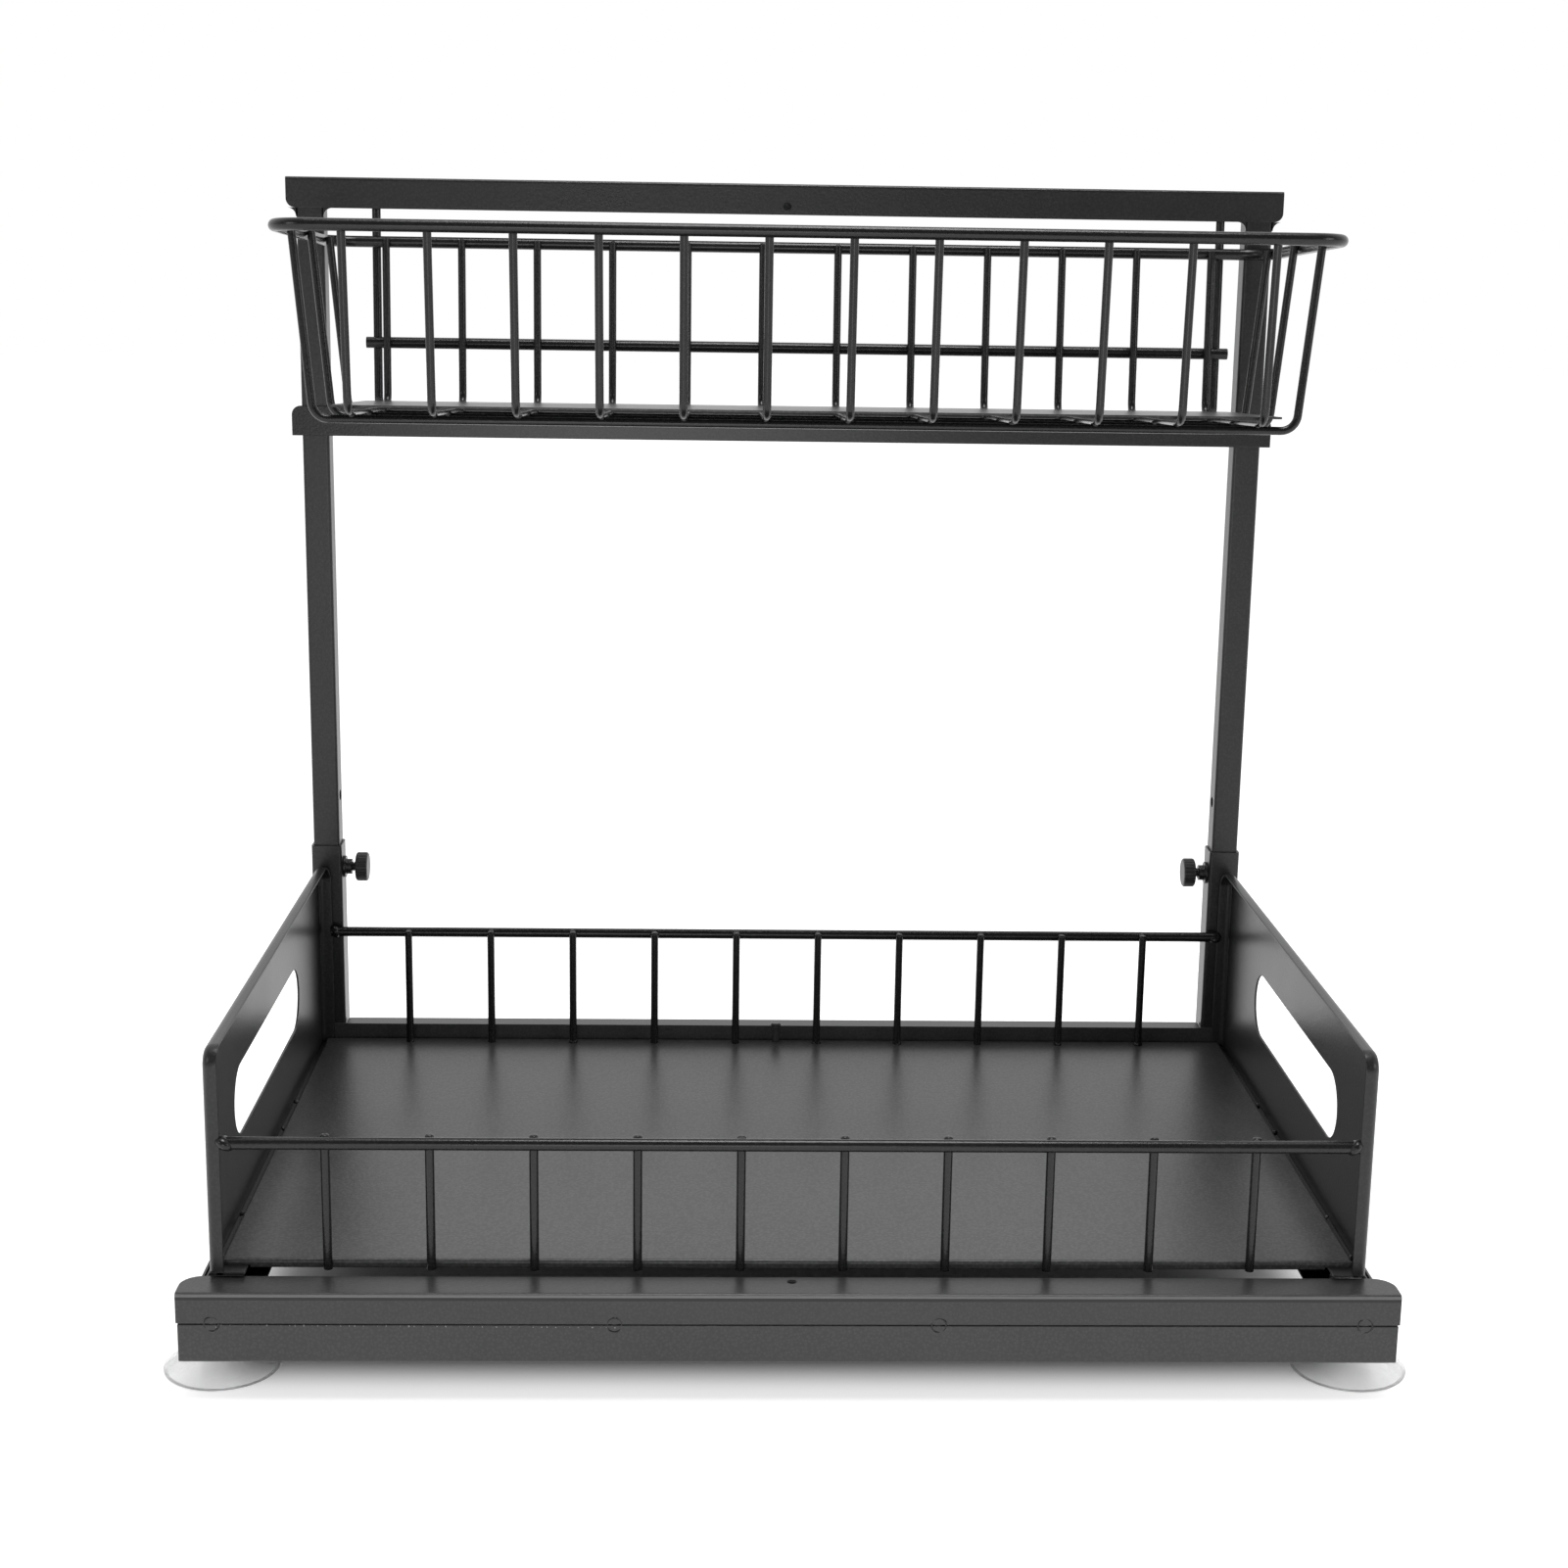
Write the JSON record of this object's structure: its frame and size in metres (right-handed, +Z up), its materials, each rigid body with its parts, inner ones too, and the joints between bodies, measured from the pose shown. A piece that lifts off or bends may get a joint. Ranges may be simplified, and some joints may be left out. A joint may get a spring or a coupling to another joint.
{
  "type": "under sink organizer",
  "caption": "Two-tier under sink organizer: a slide-out sheet metal tray with wire fences on a low base, and a hooked wire basket on height-adjustable square uprights.",
  "frame": {"origin": "middle of the footprint, on the surface that the suction cups stand on", "axes": "+Z up, front towards -Y, +X to the right seen from the front"},
  "size_m": [0.42, 0.2612, 0.393],
  "materials": {
    "powder_coat": "fine textured dark grey powder coat",
    "cup_pvc": "smooth pale translucent soft vinyl",
    "nylon": "smooth natural nylon",
    "zinc_steel": "bright zinc plated steel",
    "black_plastic": "fine grained black plastic"
  },
  "bodies": {
    "base": {"front_rail_upper": "powder_coat", "front_rail_lower": "powder_coat", "rail_welds": "powder_coat", "rear_rail": "powder_coat", "side_bar_right": "powder_coat", "side_bar_left": "powder_coat", "runner_right": "powder_coat", "runner_left": "powder_coat", "front_axle_right": "zinc_steel", "front_axle_left": "zinc_steel", "sleeve_right": "powder_coat", "sleeve_left": "powder_coat", "rivet_nut_right": "zinc_steel", "rivet_nut_left": "zinc_steel", "suction_cup_front_right": "cup_pvc", "suction_cup_front_left": "cup_pvc", "suction_cup_rear_right": "cup_pvc", "suction_cup_rear_left": "cup_pvc"},
    "tray": {"tray_floor": "powder_coat", "side_panel_right": "powder_coat", "side_panel_left": "powder_coat", "front_fence_rail": "powder_coat", "front_fence_wires": "powder_coat", "rear_fence_rail": "powder_coat", "rear_fence_wires": "powder_coat", "rear_bracket_right": "powder_coat", "rear_bracket_left": "powder_coat", "rear_axle_right": "zinc_steel", "rear_axle_left": "zinc_steel", "stop_stud": "powder_coat"},
    "upper_frame": {"upright_right": "powder_coat", "upright_left": "powder_coat", "upright_plug_right": "black_plastic", "upright_plug_left": "black_plastic", "top_bar": "powder_coat", "shelf_bar": "powder_coat"},
    "basket": {"basket_rim": "powder_coat", "basket_long_wires": "powder_coat", "basket_cross_wires": "powder_coat", "basket_plate": "powder_coat", "mid_wire": "powder_coat", "hanger_right": "powder_coat", "hanger_left": "powder_coat"},
    "front_roller_right_body": {"front_roller_right": "nylon"},
    "rear_roller_right_body": {"rear_roller_right": "nylon"},
    "screw_right_body": {"screw_right": "zinc_steel"},
    "knob_right_body": {"knob_right": "black_plastic"},
    "front_roller_left_body": {"front_roller_left": "nylon"},
    "rear_roller_left_body": {"rear_roller_left": "nylon"},
    "screw_left_body": {"screw_left": "zinc_steel"},
    "knob_left_body": {"knob_left": "black_plastic"}
  },
  "joints": [
    {"name": "tray_slide", "type": "slide", "parent": "base", "child": "tray", "axis": [0, -1, 0], "range_m": [0, 0.165]},
    {"name": "upper_frame_height", "type": "slide", "parent": "base", "child": "upper_frame", "axis": [0, 0, 1], "range_m": [-0.0306, 0.0306]},
    {"name": "basket_lift", "type": "slide", "parent": "upper_frame", "child": "basket", "axis": [0, 0.0532, 0.9986], "range_m": [0, 0.0045]},
    {"name": "front_roller_right_turn", "type": "hinge", "parent": "base", "child": "front_roller_right_body", "pos_m": [0.1878, -0.10635, 0.0319], "axis": [1, 0, 0], "continuous": true},
    {"name": "rear_roller_right_turn", "type": "hinge", "parent": "tray", "child": "rear_roller_right_body", "pos_m": [0.1878, 0.10465, 0.0303], "axis": [1, 0, 0], "continuous": true},
    {"name": "screw_right_travel", "type": "slide", "parent": "base", "child": "screw_right_body", "axis": [-1, 0, 0], "range_m": [0, 0.0021]},
    {"name": "knob_right_turn", "type": "hinge", "parent": "screw_right_body", "child": "knob_right_body", "pos_m": [0.17335, 0.12445, 0.1132], "axis": [-1, 0, 0], "continuous": true},
    {"name": "front_roller_left_turn", "type": "hinge", "parent": "base", "child": "front_roller_left_body", "pos_m": [-0.1878, -0.10635, 0.0319], "axis": [1, 0, 0], "continuous": true},
    {"name": "rear_roller_left_turn", "type": "hinge", "parent": "tray", "child": "rear_roller_left_body", "pos_m": [-0.1878, 0.10465, 0.0303], "axis": [1, 0, 0], "continuous": true},
    {"name": "screw_left_travel", "type": "slide", "parent": "base", "child": "screw_left_body", "axis": [1, 0, 0], "range_m": [0, 0.0021]},
    {"name": "knob_left_turn", "type": "hinge", "parent": "screw_left_body", "child": "knob_left_body", "pos_m": [-0.17335, 0.12445, 0.1132], "axis": [1, 0, 0], "continuous": true}
  ],
  "couplings": [
    {"joint": "front_roller_right_turn", "follows": "tray_slide", "rad_per_m": 166.67},
    {"joint": "rear_roller_right_turn", "follows": "tray_slide", "rad_per_m": 212.77},
    {"joint": "knob_right_turn", "follows": "screw_right_travel", "rad_per_m": 8976},
    {"joint": "front_roller_left_turn", "follows": "tray_slide", "rad_per_m": 166.67},
    {"joint": "rear_roller_left_turn", "follows": "tray_slide", "rad_per_m": 212.77},
    {"joint": "knob_left_turn", "follows": "screw_left_travel", "rad_per_m": 8976}
  ]
}
